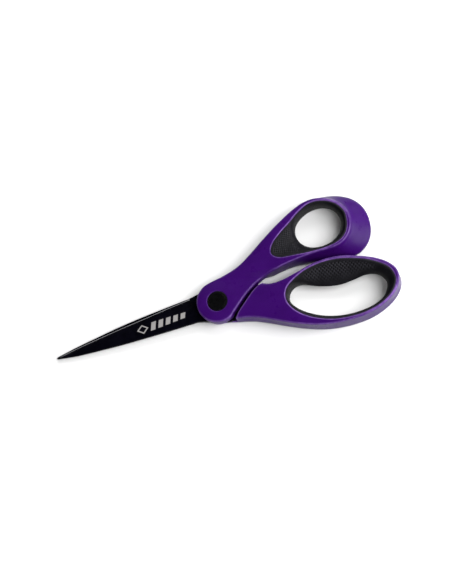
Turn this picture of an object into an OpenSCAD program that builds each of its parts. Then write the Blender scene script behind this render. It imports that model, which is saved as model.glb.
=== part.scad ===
// Straight-edged office scissors, closed. Pivot axis on Z through the origin, blades along -X,
// handles along +X, thumb loop on +Y. z = 0 is the outer face of the rear boss.

/* [Blades] */
// Distance from the pivot axis to the blade tips
blade_reach = 103.5; // [95:0.5:112]
// Thickness of each blade
blade_t = 2; // [1.8:0.1:2.2]
// Free space between the two blades, filled by the washer at the pivot
blade_gap = 0.25; // [0.2:0.05:0.4]
// Thickness of a blade at its tip, as a share of blade_t
tip_share = 0.6; // [0.5:0.05:1]
// Length over which a blade thins towards its tip
taper_l = 50; // [30:5:70]
// Width of the ground bevel along the cutting edge
bevel_w = 1.1; // [0.8:0.1:1.4]
// Height of the ground bevel
bevel_h = 0.9; // [0.6:0.1:1.2]
// Radius of each blade's round plate at the pivot
plate_r = 11.6; // [10:0.1:11.8]
// Radius of the holes in each tang that the handle's plastic fills
key_hole_r = 1.6; // [1:0.1:2]

/* [Handles] */
// Radius of the thumb handle's boss, in front
front_boss_r = 12.9; // [12.5:0.1:13.1]
// Radius of the finger handle's boss, behind
rear_boss_r = 12.3; // [12:0.1:12.6]
// Plastic in front of the front blade at the boss
front_boss_t = 4.15; // [4:0.05:4.6]
// Plastic behind the rear blade at the boss
rear_boss_t = 2.4; // [2.4:0.1:2.8]
// How far the loops rise in front of the boss
loop_rise = 1.2; // [0.6:0.1:1.6]
// How far the loops drop behind the boss
loop_drop = 2.8; // [2:0.1:3.2]
// Size of the rounding on the outer front edge
front_round = 0.6; // [0.5:0.1:0.7]
// Size of the rounding on the outer back edge
back_round = 2.4; // [1.6:0.1:2.8]

/* [Grips] */
// Length of the thumb hole
thumb_hole_l = 28.3; // [27:0.1:28.5]
// Width of the thumb hole
thumb_hole_w = 25.4; // [24:0.1:25.6]
// How far the soft grip lies under the rim of the loop
grip_sunk = 0.15; // [0.1:0.05:0.3]

/* [Pivot] */
// Radius of the two pivot caps
cap_r = 6.05; // [5.9:0.05:6.2]
// Thickness of the caps
cap_t = 0.9; // [0.8:0.05:0.95]
// How deep the front cap lies in the boss
cap_sunk = 0.3; // [0.2:0.1:0.4]
// Radius of the screw's shoulder, which the front blade turns on
shoulder_r = 2.5; // [2:0.1:2.8]
// Radial running clearance of the front blade on the shoulder
run_fit = 0.05; // [0.02:0.01:0.08]
// Radius of the screw's head
head_r = 4.3; // [4:0.1:4.5]
// Height of the screw's head
head_t = 1.4; // [1.2:0.1:1.5]
// Width across the flats of the nut
nut_af = 7.6; // [7:0.1:7.8]
// Thickness of the washer between the blades
blade_washer_t = 0.2; // [0.1:0.05:0.2]
// Outer radius of the washer between the blades
blade_washer_r = 6; // [5:0.1:7]
// Width of the driver slot in the screw's head
slot_w = 1.1; // [0.8:0.1:1.4]
// Depth of the driver slot
slot_depth = 0.7; // [0.4:0.1:0.9]

/* [Hidden] */

// Levels of the stack, from the back to the front
rear_blade_z = rear_boss_t;
contact_z = rear_blade_z + blade_t;
front_blade_z = contact_z + blade_gap;
front_boss_z = front_blade_z + blade_t;
boss_front = front_boss_z + front_boss_t;
loop_front = boss_front + loop_rise;
loop_back = -loop_drop;
mid_z = (loop_front + loop_back) / 2;
// Where the thumb loop's wall is widest
flare_z = 2.4;
// Underside of the thumb handle over the rear boss, and its gap from the blades' contact plane
overhang_gap = 0.5;
overhang_z = contact_z + overhang_gap;

// Corners of each handle outline
ring_n = 88;
// Corners of each grip ring
grip_n = 64;
// Steps between two shaping points of a curve
curve_steps = 6;
// Angles between which each boss shows as a round end of its handle, and the steps round it
front_boss_span = [96, 290];
rear_boss_span = [68, 274];
boss_steps = 8;
// Longer than the whole object
far = 200;
// Play of loose pieces in their seats
slack = 0.05;
// Bond line between a grip and its loop
bond = 0.02;
// Widths between which a grip's section goes from round to a scoop
narrow_w = 4;
wide_w = 12;
// Where the front of both handles starts to rise towards the loops, and where it is up
front_ramp = [8, 43];
// Where their back starts to drop, and where it is down
back_ramp = [16, 56];
// Steps in each of those slopes
ramp_steps = 8;
// Where the ground part of a blade ends, and where its flat plate starts
ground_end_x = -0.13 * blade_reach;
plate_start_x = -0.14 * blade_reach;
// Shoulders of the plate, where it widens to the pivot disc
shoulder_x = -6;
shoulder_y = 9.7;

// ---- shaping points, [x, y] in millimetres --------------------------------------------------

// Thumb handle beyond its boss, front rim, with how far the wall flares out behind it
thumb_rim = [
    [7.5, -9.7, 0.2], [12, -6, 0.2], [17, -2.1, 0.2], [22, 1.2, 0.3], [27, 3.8, 0.3],
    [33, 5.8, 0.2], [41, 7.1, 0], [50, 8.1, 0.3], [59, 8.5, 1.8], [68, 8.2, 3.6], [77, 7.9, 5],
    [83.5, 9.7, 9], [88.3, 14, 10.8], [90.8, 20, 10.3], [90.8, 26.5, 9.2], [88.2, 32.3, 7.2],
    [83, 37.3, 4.6], [76, 40.5, 2.5], [68, 41, 1.2], [59, 38.4, 0.4], [48, 33.2, 0],
    [37, 27.2, 0], [27, 21.2, 0], [18, 16.6, 0], [9, 14.2, 0]];
// Where the soft grip meets the thumb handle, in front and behind
thumb_seam_front = [
    [88.4, 21.5], [88.4, 27.8], [84.1, 34.3], [77.2, 38.1], [69.7, 38.9], [62.2, 36],
    [54.7, 31.1], [47.5, 26.9], [41.5, 22.3], [38.9, 17], [43, 12.8], [52, 11.2], [63, 9.9],
    [73, 9.6], [81, 11], [86.1, 15.1]];
thumb_seam_back = [
    [96.5, 19.5], [95, 27], [89.5, 33], [81, 36.9], [71.5, 38.6], [61.8, 36], [54.2, 30],
    [51.5, 22.5], [53.5, 16], [60, 11.5], [68.5, 9.6], [78, 8.7], [87, 9.5], [93.4, 13.2]];
thumb_hole_at = [70.3, 24.8];

// Finger handle beyond its boss
finger_rim = [
    [8, -14, 0.4], [13, -15.2, 0.6], [19, -17.2, 0.7], [26, -20.8, 0.6], [34, -25.4, 0.4],
    [43, -30.2, 0.1], [53, -34.3, 0], [63, -36.9, 0], [74, -38.1, 0], [85, -37.7, -0.1],
    [95.3, -34.9, -0.4], [103.2, -30.1, -0.5], [107.6, -24, -0.4], [108, -17.3, -0.2],
    [104.1, -11.3, 0], [97.3, -6.1, 0], [88.8, -2.1, 0], [80, 1.3, 0], [70, 3, 0], [60, 2.7, 0],
    [50, 0.7, 0], [41, -0.6, 0], [34, -0.4, 0], [29.5, 1.4, 0], [26, 4, 0], [19, 6.6, 0],
    [11, 9.6, 0]];
finger_seam = [
    [105.9, -21], [104.2, -15.3], [99.9, -10.7], [93.2, -6.1], [85.8, -2.7], [77, 0.2],
    [67, 1.4], [57.1, 0.5], [48.3, -2.5], [42, -6.6], [39.7, -12.5], [41.5, -18.9],
    [47.2, -25.6], [55.9, -31.2], [66, -34.9], [78, -36.4], [87, -35.8], [94.8, -33.6],
    [101.2, -29.9], [104.9, -25.2]];
finger_hole = [
    [99.3, -23], [98.4, -18], [94.5, -14.2], [89, -12.8], [82, -13.3], [74, -13.7],
    [66, -12.2], [58, -9.2], [51.5, -5.9], [46, -5], [42.3, -7.8], [41.1, -12.5],
    [43.2, -17.6], [49, -23.4], [57.5, -28.6], [67, -32], [77.5, -33.4], [88, -32.6],
    [95.5, -29.3]];

// Edge of the finger handle's full-height part towards the pivot, seen from the front
finger_step = [[2, -17], [7.5, -13.4], [10.5, -10.3], [15, -6.6], [20, -2.7], [24, 0],
               [27, 1.3], [29, 1.9], [31, 3.4]];
// The same edge of the thumb handle, seen from behind
thumb_step = [[2, 16.5], [8, 12.8], [14, 10.2], [22, 8.1], [30, 7], [36, 6.2], [42, 4]];

// Cutting edge and spine of each blade: share of the reach, then y
front_edge = [[-100, 0.2], [-87, 2.1], [-72, 3.7], [-58, 5], [-43, 6.2], [-29, 7.4], [-13, 8.5]];
front_spine = [[-100, -0.5], [-87, -2.8], [-72, -4.3], [-58, -5.4], [-43, -6.2], [-29, -6.8],
               [-13, -7.3]];
rear_edge = [[-100, 0], [-87, -2], [-72, -3.3], [-58, -4.3], [-43, -5.1], [-29, -5.8],
             [-13, -6.5]];
rear_spine = [[-100, 0.8], [-87, 3], [-72, 4.9], [-58, 6.5], [-43, 7.6], [-29, 8.35],
              [-13, 9]];
// Tangs inside the handles
front_tang = [[0, -11], [9, -6.6], [15, -1.9], [22, 3.2], [30, 7.8], [37, 11.5], [38, 15.5],
              [34, 18.4], [24, 15.6], [12, 12], [0, 11.3]];
rear_tang = [[0, 11.3], [9, 9.2], [18, 6], [25.5, 3.4], [29, -0.4], [33, -5], [37.5, -11],
             [38, -15.5], [34, -18.6], [24, -15.8], [12, -12], [0, -11]];
front_keys = [[19, 7.5], [31, 13.2]];
rear_keys = [[19, -7.5], [31, -12.4]];

// ---- curves ---------------------------------------------------------------------------------

function blend(a, b, t) = a + (b - a) * t;
function clamp01(t) = max(0, min(1, t));

// A point at t between b and c on the smooth curve through a, b, c and d
function curve_point(a, b, c, d, t) =
    (2 * b + (c - a) * t + (2 * a - 5 * b + 4 * c - d) * t * t
     + (3 * b - a - 3 * c + d) * t * t * t) / 2;

function closed_curve(p) =
    let (n = len(p))
    [for (i = [0:n - 1], k = [0:curve_steps - 1])
        curve_point(p[(i + n - 1) % n], p[i], p[(i + 1) % n], p[(i + 2) % n], k / curve_steps)];

function open_curve(p) =
    let (n = len(p))
    concat([for (i = [0:n - 2], k = [0:curve_steps - 1])
        curve_point(p[max(i - 1, 0)], p[i], p[i + 1], p[min(i + 2, n - 1)], k / curve_steps)],
        [p[n - 1]]);

// n points at equal steps along a closed curve
function even_ring(c, n) =
    let (m = len(c),
         s = [for (i = 0, d = 0; i <= m; d = d + norm(flat(c[(i + 1) % m]) - flat(c[i % m])),
                   i = i + 1) d],
         at = function (k, f) lookup(f, [for (i = [0:m]) [s[i], c[i % m][k]]]))
    [for (i = [0:n - 1]) let (f = s[m] * i / n) [for (k = [0:len(c[0]) - 1]) at(k, f)]];

function flat(p) = [p[0], p[1]];
function raised(ring, z) = [for (p = ring) [p[0], p[1], z]];

// A ring moved outwards by d plus share times its flare, at height z
function grown(ring, d, share, z) =
    let (n = len(ring))
    [for (i = [0:n - 1])
        let (e = flat(ring[(i + 1) % n]) - flat(ring[(i + n - 1) % n]),
             out = [e[1], -e[0]] / norm(e),
             p = flat(ring[i]) + out * (d + share * ring[i][2]))
        [p[0], p[1], z]];

function boss_arc(r, span) =
    [for (i = [0:boss_steps]) let (a = blend(span[0], span[1], i / boss_steps))
        [r * cos(a), r * sin(a), 0]];

function along_blade(p) = [for (q = open_curve(p)) [q[0] * blade_reach / 100, q[1]]];

// ---- solids from rings ----------------------------------------------------------------------

function band_faces(n, m, closed) =
    [for (j = [0:closed ? m - 1 : m - 2], i = [0:n - 1])
        let (a = j * n + i, b = j * n + (i + 1) % n,
             c = ((j + 1) % m) * n + (i + 1) % n, d = ((j + 1) % m) * n + i)
        each [[a, b, c], [a, c, d]]];

// Rings stacked from the back to the front, closed by a flat face at each end
module stacked(rings) {
    n = len(rings[0]);
    m = len(rings);
    ends = [[for (i = [0:n - 1]) i], [for (i = [n - 1:-1:0]) (m - 1) * n + i]];
    polyhedron([for (r = rings) each r],
               concat([for (f = band_faces(n, m, false)) [f[2], f[1], f[0]]], ends));
}

// Rings that close on themselves, as round an opening
module ring_tube(rings) {
    n = len(rings[0]);
    m = len(rings);
    polyhedron([for (r = rings) each r], band_faces(n, m, true));
}

// What is cut off the front and back of handles and grips, so that they thin towards the boss
module neck_cut() {
    past = 0.15;
    steps = [for (i = [0:ramp_steps]) i / ramp_steps];
    rise = [for (t = steps) [blend(front_ramp[0], front_ramp[1], t),
                             blend(boss_front, loop_front + past, pow(t, 1.5))]];
    drop = [for (t = steps) [blend(back_ramp[0], back_ramp[1], t),
                             blend(0, loop_back - past, pow(t, 1.5))]];
    rotate([90, 0, 0])
        linear_extrude(far, center = true) {
            polygon(concat([[-20, boss_front]], rise,
                           [[front_ramp[1], loop_front + 1], [-20, loop_front + 1]]));
            polygon(concat([[-20, 0]], drop,
                           [[back_ramp[1], loop_back - 1], [-20, loop_back - 1]]));
        }
}

// Outside of a handle, as rings that are inset at the roundings and flare out behind the rim
module handle_body(rim) {
    ring = even_ring(closed_curve(rim), ring_n);
    difference() {
        stacked([
            grown(ring, -back_round, 0.8, loop_back),
            grown(ring, -back_round * 0.3, 0.94, loop_back + back_round * 0.5),
            grown(ring, 0, 1, flare_z - 1),
            grown(ring, 0, 0.92, flare_z + 1.4),
            grown(ring, 0, 0.08, loop_front - front_round - 1),
            grown(ring, 0, 0, loop_front - front_round),
            grown(ring, -front_round, 0, loop_front)]);
        neck_cut();
    }
}

// Space that the soft grip takes in its loop
module grip_space(seam_front, seam_back) {
    stacked([
        raised(seam_back, loop_back - 1),
        raised(seam_back, loop_back),
        raised(seam_front, loop_front),
        raised(seam_front, loop_front + 1)]);
}

// Height share of a grip's surface at s, from 0 at the seam to 1 at the hole. A grip as narrow as
// narrow_w is nearly round, and one as wide as wide_w is a long scoop.
function grip_rise(s, w) =
    let (k = clamp01((w - narrow_w) / (wide_w - narrow_w)))
    pow(1 - pow(s, blend(2, 1.4, k)), blend(0.5, 0.95, k));

function grip_ring(seam, hole, s, z_seam) =
    [for (i = [0:len(seam) - 1])
        let (w = norm(hole[i] - flat(seam[i])),
             p = blend(flat(seam[i]), hole[i], s))
        [p[0], p[1], blend(mid_z, z_seam, grip_rise(s, w))]];

// The seam at share t of the way from the back to the front, inset by the bond line
function seam_at(seam_back, seam_front, t) =
    grown([for (i = [0:grip_n - 1]) concat(blend(seam_back[i], seam_front[i], t), 0)], -bond, 0, 0);

module grip_body(seam_front, seam_back, hole) {
    shares = [0, 0.3, 0.6, 0.85, 0.97];
    sunk = grip_sunk / (loop_front - loop_back);
    front = seam_at(seam_back, seam_front, 1 - sunk);
    back = seam_at(seam_back, seam_front, sunk);
    ring_tube(concat(
        [for (s = shares) grip_ring(front, hole, s, loop_front - grip_sunk)],
        [for (i = [len(shares) - 1:-1:0])
            grip_ring(back, hole, shares[i], loop_back + grip_sunk)]));
}

// ---- blades ---------------------------------------------------------------------------------

// Ground part of a blade. side is 1 when the body lies in front of z and -1 when it lies behind,
// and edge_side is the sign of the cutting edge's y.
module ground_blade(edge_points, spine_points, z, side, edge_side) {
    edge = along_blade(edge_points);
    spine = along_blade(spine_points);
    stations = [for (i = [0:16]) blend(-blade_reach, ground_end_x, pow(i / 16, 1.3))];
    sections = [for (x = stations)
        let (e = lookup(x, edge),
             s = lookup(x, spine),
             w = e - s,
             t = blade_t * blend(tip_share, 1, clamp01((x + blade_reach) / taper_l)),
             b = min(bevel_w, 0.45 * abs(w)) * sign(w),
             h = min(bevel_h, 0.7 * t))
        [[x, e, z], [x, e - b, z + side * h], [x, blend(e, s, 0.5), z + side * t],
         [x, s, z + side * t], [x, s, z]]];
    stacked(edge_side * side > 0 ? sections
        : [for (p = sections) [for (i = [4:-1:0]) p[i]]]);
}

module blade_plate(tang, edge_points, spine_points, keys, edge_side) {
    edge = along_blade(edge_points);
    spine = along_blade(spine_points);
    difference() {
        union() {
            circle(plate_r, $fn = 96);
            polygon(closed_curve(tang));
            polygon([[plate_start_x, lookup(plate_start_x, edge)],
                     [shoulder_x, edge_side * shoulder_y],
                     [shoulder_x, -edge_side * shoulder_y],
                     [plate_start_x, lookup(plate_start_x, spine)]]);
        }
        for (k = keys)
            translate(k)
                circle(key_hole_r, $fn = 32);
    }
}

module front_plate(z, t) {
    translate([0, 0, z])
        linear_extrude(t)
            blade_plate(front_tang, front_edge, front_spine, front_keys, 1);
}

module rear_plate(z, t) {
    translate([0, 0, z])
        linear_extrude(t)
            blade_plate(rear_tang, rear_edge, rear_spine, rear_keys, -1);
}

module ring_solid(r_in, r_out, z, t) {
    translate([0, 0, z])
        difference() {
            cylinder(h = t, r = r_out, $fn = 64);
            translate([0, 0, -1])
                cylinder(h = t + 2, r = r_in, $fn = 64);
        }
}

module well(r, from, to) {
    translate([0, 0, from])
        cylinder(h = to - from, r = r, $fn = 96);
}

// ---- nodes, rear half -----------------------------------------------------------------------

finger_seam_ring = even_ring(closed_curve(finger_seam), grip_n);
finger_hole_ring = even_ring(closed_curve(finger_hole), grip_n);
cap_seat_z = cap_t + slack;
nut_r = nut_af / sqrt(3);
// Room round the nut's corners
nut_room = 0.3;
nut_well_r = nut_r + nut_room;
stub_r = shoulder_r * 0.8;

module finger_handle() {
    color("indigo")
        difference() {
            handle_body(concat(finger_rim, boss_arc(rear_boss_r, rear_boss_span)));
            grip_space(finger_seam_ring, finger_seam_ring);
            translate([0, 0, rear_blade_z])
                linear_extrude(far)
                    polygon(concat(open_curve(finger_step), [[32, 8], [32, 30], [-40, 30],
                                                             [-40, -30], [0, -30]]));
            rear_plate(rear_blade_z, blade_t);
            well(cap_r + slack, -1, cap_seat_z);
            well(nut_well_r, -1, rear_blade_z + 1);
        }
}

module finger_grip() {
    color("dimgray")
        difference() {
            grip_body(finger_seam_ring, finger_seam_ring, finger_hole_ring);
            neck_cut();
        }
}

module rear_blade() {
    color("black")
        difference() {
            union() {
                rear_plate(rear_blade_z, blade_t);
                ground_blade(rear_edge, rear_spine, contact_z, -1, -1);
            }
            well(shoulder_r, 0, far);
        }
}

module rear_pivot_cap() {
    color("black")
        well(cap_r, 0, cap_t);
}

module pivot_nut() {
    color("silver")
        difference() {
            translate([0, 0, cap_seat_z])
                cylinder(h = rear_blade_z - cap_seat_z, r = nut_r, $fn = 6);
            well(stub_r, 0, far);
        }
}

screw_washer_z = front_boss_z + slack;
screw_washer_t = 0.3;
screw_washer_r = 4.8;
spring_z = screw_washer_z + screw_washer_t;
spring_t = 0.25;
spring_r = 4.5;
head_z = spring_z + 2 * spring_t;
// Room round the screw's head, and for the washer under it
head_room = 1.1;
head_well_r = head_r + head_room;

module pivot_screw() {
    color("silver")
        difference() {
            union() {
                well(stub_r, cap_seat_z + slack, rear_blade_z);
                well(shoulder_r, rear_blade_z, head_z);
                well(head_r, head_z, head_z + head_t);
            }
            // slot for the driver
            translate([0, 0, head_z + head_t])
                cube([2 * head_r + 1, slot_w, 2 * slot_depth], center = true);
        }
}

module blade_washer() {
    color("white")
        ring_solid(shoulder_r + slack, blade_washer_r, contact_z, blade_washer_t);
}

module screw_washer() {
    color("silver")
        ring_solid(shoulder_r + slack, screw_washer_r, screw_washer_z, screw_washer_t);
}

// Slightly coned spring washer that holds the blades together
module spring_washer() {
    color("gray")
        rotate_extrude($fn = 64)
            polygon([[shoulder_r + slack, head_z - spring_t], [shoulder_r + slack, head_z],
                     [spring_r, spring_z + spring_t], [spring_r, spring_z]]);
}

// ---- nodes, front half ----------------------------------------------------------------------

thumb_seam_front_ring = even_ring(closed_curve(thumb_seam_front), grip_n);
thumb_seam_back_ring = even_ring(closed_curve(thumb_seam_back), grip_n);
thumb_hole_ring = [for (i = [0:grip_n - 1])
    thumb_hole_at + [thumb_hole_l / 2 * cos(360 * i / grip_n),
                     thumb_hole_w / 2 * sin(360 * i / grip_n)]];
front_cap_z = boss_front - cap_sunk - cap_t;

module thumb_handle() {
    color("indigo")
        difference() {
            handle_body(concat(thumb_rim, boss_arc(front_boss_r, front_boss_span)));
            grip_space(thumb_seam_front_ring, thumb_seam_back_ring);
            translate([0, 0, overhang_z - far])
                linear_extrude(far)
                    polygon(concat(open_curve(thumb_step), [[42, -30], [-40, -30], [-40, 30],
                                                            [0, 30]]));
            front_plate(front_blade_z, blade_t);
            well(cap_r + slack, front_cap_z - slack, far);
            well(head_well_r, front_blade_z, far);
        }
}

module thumb_grip() {
    color("dimgray")
        difference() {
            grip_body(thumb_seam_front_ring, thumb_seam_back_ring, thumb_hole_ring);
            neck_cut();
        }
}

module front_blade() {
    color("black")
        difference() {
            union() {
                front_plate(front_blade_z, blade_t);
                ground_blade(front_edge, front_spine, front_blade_z, 1, 1);
            }
            well(shoulder_r + run_fit, 0, far);
        }
}

module front_pivot_cap() {
    color("black")
        well(cap_r, front_cap_z, front_cap_z + cap_t);
}

finger_handle();
finger_grip();
rear_blade();
rear_pivot_cap();
pivot_nut();
pivot_screw();
blade_washer();
screw_washer();
spring_washer();
thumb_handle();
thumb_grip();
front_blade();
front_pivot_cap();
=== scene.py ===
"""Looks of the closed office scissors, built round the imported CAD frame.

The handles and grips are solids given by a signed field in millimetres, meshed as a surface net.
Blades and caps are direct meshes. Part axes: handles +X, blades -X, thumb loop +Y, front +Z.
"""

import math

import bmesh
import bpy
import numpy as np
from mathutils import Matrix, Vector


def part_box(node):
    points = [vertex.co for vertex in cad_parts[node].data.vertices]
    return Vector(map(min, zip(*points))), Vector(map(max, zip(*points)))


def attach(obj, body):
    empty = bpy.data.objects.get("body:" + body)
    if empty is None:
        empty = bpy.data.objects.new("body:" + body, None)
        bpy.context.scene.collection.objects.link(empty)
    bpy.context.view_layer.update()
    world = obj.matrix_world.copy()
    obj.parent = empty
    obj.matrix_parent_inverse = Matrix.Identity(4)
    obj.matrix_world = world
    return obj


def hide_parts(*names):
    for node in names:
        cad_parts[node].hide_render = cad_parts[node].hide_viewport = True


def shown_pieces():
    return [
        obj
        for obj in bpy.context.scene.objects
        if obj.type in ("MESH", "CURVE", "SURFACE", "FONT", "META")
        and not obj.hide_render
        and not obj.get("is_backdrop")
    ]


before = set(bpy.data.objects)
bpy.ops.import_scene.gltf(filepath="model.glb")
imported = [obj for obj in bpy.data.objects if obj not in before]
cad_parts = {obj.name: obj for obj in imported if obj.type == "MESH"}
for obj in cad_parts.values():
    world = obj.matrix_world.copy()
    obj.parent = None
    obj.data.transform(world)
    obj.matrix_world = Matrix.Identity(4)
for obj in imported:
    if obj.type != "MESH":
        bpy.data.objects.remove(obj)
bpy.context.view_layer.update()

MM = 0.001

# ---- sizes, in millimetres, as in the CAD ------------------------------------------------------

rear_blade_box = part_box("rear_blade")
front_blade_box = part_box("front_blade")
REAR_BLADE_Z = rear_blade_box[0][2] / MM
CONTACT_Z = rear_blade_box[1][2] / MM
FRONT_BLADE_Z = front_blade_box[0][2] / MM
BLADE_REACH = -front_blade_box[0][0] / MM
BLADE_T = CONTACT_Z - REAR_BLADE_Z
LOOP_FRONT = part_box("thumb_handle")[1][2] / MM
LOOP_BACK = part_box("finger_handle")[0][2] / MM
FRONT_CAP_Z = [c[2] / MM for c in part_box("front_pivot_cap")]
REAR_CAP_Z = [c[2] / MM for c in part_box("rear_pivot_cap")]
CAP_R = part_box("front_pivot_cap")[1][0] / MM
BOSS_FRONT = FRONT_CAP_Z[1] + 0.3
MID_Z = (LOOP_FRONT + LOOP_BACK) / 2
OVERHANG_Z = CONTACT_Z + 0.5
FRONT_BOSS_R = 12.9
REAR_BOSS_R = 12.3
PLATE_R = 11.6
BORE_R = 2.55
# Wells in the bosses for the nut and for the screw's head
NUT_WELL_R = 4.7
HEAD_WELL_R = 5.4
# Play of a blade in its pocket, and half the pocket's height
POCKET_PLAY = 0.05
POCKET_HALF = 1.05
# Play of a cap in its seat
CAP_PLAY = 0.1
# How far the liners stay behind the handles' faces, and every mesh behind its CAD box
GRIP_SUNK = 0.15
INSET = 0.05
# Height where a loop's wall flares out most, and how far above it the flare has faded
FLARE_Z, FLARE_RISE = 1.5, 10
# Width and height of the blades' bevel, and its share from the cutting edge that is ground bare
BEVEL_W, BEVEL_H = 1.1, 0.9
BARE = 0.35

# Shaping points, [x, y] or [x, y, how far the wall flares out behind the rim]
THUMB_RIM = [
    [7.5, -9.7, 0.2], [12, -6, 0.2], [17, -2.1, 0.2], [22, 1.2, 0.3], [27, 3.8, 0.3],
    [33, 5.8, 0.2], [41, 7.1, 0], [50, 8.1, 0.3], [59, 8.5, 1.8], [68, 8.2, 3.6], [77, 7.9, 5],
    [83.5, 9.7, 9], [88.3, 14, 10.8], [90.8, 20, 10.3], [90.8, 26.5, 9.2], [88.2, 32.3, 7.2],
    [83, 37.3, 4.6], [76, 40.5, 2.5], [68, 41, 1.2], [59, 38.4, 0.4], [48, 33.2, 0],
    [37, 27.2, 0], [27, 21.2, 0], [18, 16.6, 0], [9, 14.2, 0]]
THUMB_SEAM_FRONT = [
    [88.4, 21.5], [88.4, 27.8], [84.1, 34.3], [77.2, 38.1], [69.7, 38.9], [62.2, 36],
    [54.7, 31.1], [47.5, 26.9], [41.5, 22.3], [38.9, 17], [43, 12.8], [52, 11.2], [63, 9.9],
    [73, 9.6], [81, 11], [86.1, 15.1]]
THUMB_SEAM_BACK = [
    [96.5, 19.5], [95, 27], [89.5, 33], [81, 36.9], [71.5, 38.6], [61.8, 36], [54.2, 30],
    [51.5, 22.5], [53.5, 16], [60, 11.5], [68.5, 9.6], [78, 8.7], [87, 9.5], [93.4, 13.2]]
THUMB_HOLE_AT, THUMB_HOLE_SIZE = (70.3, 24.8), (28.3, 25.4)
FINGER_RIM = [
    [8, -14, 0.4], [13, -15.2, 0.6], [19, -17.2, 0.7], [26, -20.8, 0.6], [34, -25.4, 0.4],
    [43, -30.2, 0.1], [53, -34.3, 0], [63, -36.9, 0], [74, -38.1, 0], [85, -37.7, -0.1],
    [95.3, -34.9, -0.4], [103.2, -30.1, -0.5], [107.6, -24, -0.4], [108, -17.3, -0.2],
    [104.1, -11.3, 0], [97.3, -6.1, 0], [88.8, -2.1, 0], [80, 1.3, 0], [70, 3, 0], [60, 2.7, 0],
    [50, 0.7, 0], [41, -0.6, 0], [34, -0.4, 0], [29.5, 1.4, 0], [26, 4, 0], [19, 6.6, 0],
    [11, 9.6, 0]]
FINGER_SEAM = [
    [105.9, -21], [104.2, -15.3], [99.9, -10.7], [93.2, -6.1], [85.8, -2.7], [77, 0.2],
    [67, 1.4], [57.1, 0.5], [48.3, -2.5], [42, -6.6], [39.7, -12.5], [41.5, -18.9],
    [47.2, -25.6], [55.9, -31.2], [66, -34.9], [78, -36.4], [87, -35.8], [94.8, -33.6],
    [101.2, -29.9], [104.9, -25.2]]
FINGER_HOLE = [
    [99.3, -23], [98.4, -18], [94.5, -14.2], [89, -12.8], [82, -13.3], [74, -13.7],
    [66, -12.2], [58, -9.2], [51.5, -5.9], [46, -5], [42.3, -7.8], [41.1, -12.5],
    [43.2, -17.6], [49, -23.4], [57.5, -28.6], [67, -32], [77.5, -33.4], [88, -32.6],
    [95.5, -29.3]]
FINGER_STEP = [[2, -17], [7.5, -13.4], [10.5, -10.3], [15, -6.6], [20, -2.7], [24, 0],
               [27, 1.3], [29, 1.9], [31, 3.4]]
THUMB_STEP = [[2, 16.5], [8, 12.8], [14, 10.2], [22, 8.1], [30, 7], [36, 6.2], [42, 4]]
FRONT_EDGE = [[-100, 0.2], [-87, 2.1], [-72, 3.7], [-58, 5], [-43, 6.2], [-29, 7.4], [-13, 8.5]]
FRONT_SPINE = [[-100, -0.5], [-87, -2.8], [-72, -4.3], [-58, -5.4], [-43, -6.2], [-29, -6.8],
               [-13, -7.3]]
REAR_EDGE = [[-100, 0], [-87, -2], [-72, -3.3], [-58, -4.3], [-43, -5.1], [-29, -5.8],
             [-13, -6.5]]
REAR_SPINE = [[-100, 0.8], [-87, 3], [-72, 4.9], [-58, 6.5], [-43, 7.6], [-29, 8.35], [-13, 9]]
FRONT_TANG = [[0, -11], [9, -6.6], [15, -1.9], [22, 3.2], [30, 7.8], [37, 11.5], [38, 15.5],
              [34, 18.4], [24, 15.6], [12, 12], [0, 11.3]]
REAR_TANG = [[0, 11.3], [9, 9.2], [18, 6], [25.5, 3.4], [29, -0.4], [33, -5], [37.5, -11],
             [38, -15.5], [34, -18.6], [24, -15.8], [12, -12], [0, -11]]

# ---- curves ------------------------------------------------------------------------------------


def spline(points, closed, steps=14):
    """Smooth curve through the shaping points."""
    p = np.array(points, float)
    n = len(p)
    t = np.arange(steps)[:, None] / steps
    parts = []
    for i in range(n if closed else n - 1):
        a, b, c, d = (p[(i + k) % n] if closed else p[min(max(i + k, 0), n - 1)]
                      for k in (-1, 0, 1, 2))
        parts.append((2 * b + (c - a) * t + (2 * a - 5 * b + 4 * c - d) * t**2
                      + (3 * b - a - 3 * c + d) * t**3) / 2)
    if not closed:
        parts.append(p[-1:])
    return np.concatenate(parts)


def even(curve, spacing, closed=True):
    """The same curve with points at even steps."""
    c = np.concatenate([curve, curve[:1]]) if closed else curve
    s = np.concatenate([[0], np.cumsum(np.linalg.norm(np.diff(c[:, :2], axis=0), axis=1))])
    n = max(8, round(s[-1] / spacing))
    at = np.linspace(0, s[-1], n, endpoint=not closed)
    return np.stack([np.interp(at, s, c[:, k]) for k in range(c.shape[1])], 1)


def smoothed(curve, reach=3):
    """A closed even curve averaged over a few neighbours, so that its bend changes evenly."""
    w = np.hanning(2 * reach + 3)[1:-1]
    w /= w.sum()
    return sum(w[k + reach] * np.roll(curve, k, axis=0) for k in range(-reach, reach + 1))


def outline(points, spacing=0.5):
    """A closed outline with even points through the shaping points."""
    return smoothed(even(spline(points, True), spacing))


def arc(r, start, stop, n=9):
    """Shaping points on a round stretch about the pivot, without a flare; angles in degrees."""
    a = np.radians(np.linspace(start, stop, n))
    return [[r * math.cos(v), r * math.sin(v), 0] for v in a]


def ease(t):
    """0 to 1 with soft ends as t goes from 0 to 1."""
    t = np.clip(t, 0, 1)
    return t * t * (3 - 2 * t)


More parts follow.
